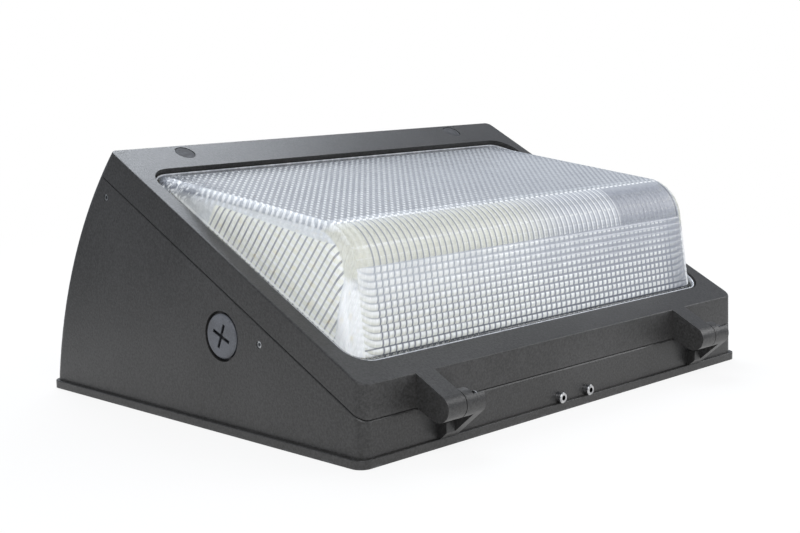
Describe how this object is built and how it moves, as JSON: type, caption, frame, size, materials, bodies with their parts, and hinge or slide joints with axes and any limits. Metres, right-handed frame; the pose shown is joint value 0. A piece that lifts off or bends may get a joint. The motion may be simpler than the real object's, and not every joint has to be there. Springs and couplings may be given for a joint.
{
  "type": "wall pack light",
  "caption": "Outdoor wedge-shaped wall pack light: cast housing with a hinged door frame, a prismatic glass refractor, LED boards and driver inside.",
  "frame": {"origin": "centre of the flat wall face of the flange, in the middle of the cable entry", "axes": "lying on its back as in the picture: +X along the width, +Y from the hinges towards the curved back, +Z out of the wall"},
  "size_m": [0.368, 0.317, 0.1593],
  "materials": {
    "powder_coat": "textured dark bronze-grey powder coat on die-cast aluminium",
    "prismatic_glass": "clear pressed prismatic glass",
    "white_reflector": "cream-white baked enamel",
    "board_mask": "white solder mask on an aluminium-core board",
    "led_phosphor": "yellow phosphor under clear silicone",
    "seal_rubber": "matt black silicone rubber",
    "bead_rubber": "grey silicone rubber",
    "zinc_steel": "bright zinc-plated steel",
    "stainless": "stainless steel",
    "driver_case": "extruded aluminium case",
    "black_plastic": "moulded black nylon",
    "ivory_plastic": "moulded ivory polyamide",
    "supply_jacket": "black PVC jacket",
    "board_jacket": "white PVC jacket",
    "earth_jacket": "green PVC insulation",
    "tinned_copper": "tinned copper"
  },
  "bodies": {
    "housing": {"housing": "powder_coat", "door_gasket": "seal_rubber", "hinge_pin_left": "zinc_steel", "hinge_pin_right": "zinc_steel", "hinge_rings": "stainless", "reflector_tray": "white_reflector", "tray_screws": "zinc_steel", "tray_grommet": "seal_rubber", "led_board_left": "board_mask", "led_board_right": "board_mask", "led_chips_left": "led_phosphor", "led_chips_right": "led_phosphor", "board_screws": "zinc_steel", "board_connector": "ivory_plastic", "driver": "driver_case", "driver_end_caps": "black_plastic", "driver_screws": "zinc_steel", "terminal_bracket": "zinc_steel", "front_screws": "stainless", "front_nuts": "zinc_steel", "terminal_block": "ivory_plastic", "terminal_screws": "zinc_steel", "block_fixing_screws": "zinc_steel", "earth_screw": "zinc_steel", "earth_terminal": "tinned_copper", "lead_supply": "supply_jacket", "lead_boards": "board_jacket", "lead_earth": "earth_jacket", "entry_grommet": "seal_rubber", "conduit_plug_left": "powder_coat", "conduit_plug_right": "powder_coat", "plug_seals": "seal_rubber"},
    "door": {"door_frame": "powder_coat", "refractor": "prismatic_glass", "refractor_gasket": "bead_rubber", "glass_clips": "stainless", "clip_screws": "zinc_steel"},
    "door_fastener_left": {"door_screw_left": "stainless", "screw_cap_left": "seal_rubber", "screw_ring_left": "stainless"},
    "door_fastener_right": {"door_screw_right": "stainless", "screw_cap_right": "seal_rubber", "screw_ring_right": "stainless"}
  },
  "joints": [
    {"name": "door_hinge", "type": "hinge", "parent": "housing", "child": "door", "pos_m": [0, -0.16135, 0.02766], "axis": [1, 0, 0], "range_deg": [0, 120]},
    {"name": "door_screw_left_slide", "type": "slide", "parent": "door", "child": "door_fastener_left", "axis": [0, -0.4582, 0.8889], "range_m": [0, 0.009]},
    {"name": "door_screw_right_slide", "type": "slide", "parent": "door", "child": "door_fastener_right", "axis": [0, -0.4582, 0.8889], "range_m": [0, 0.009]}
  ]
}
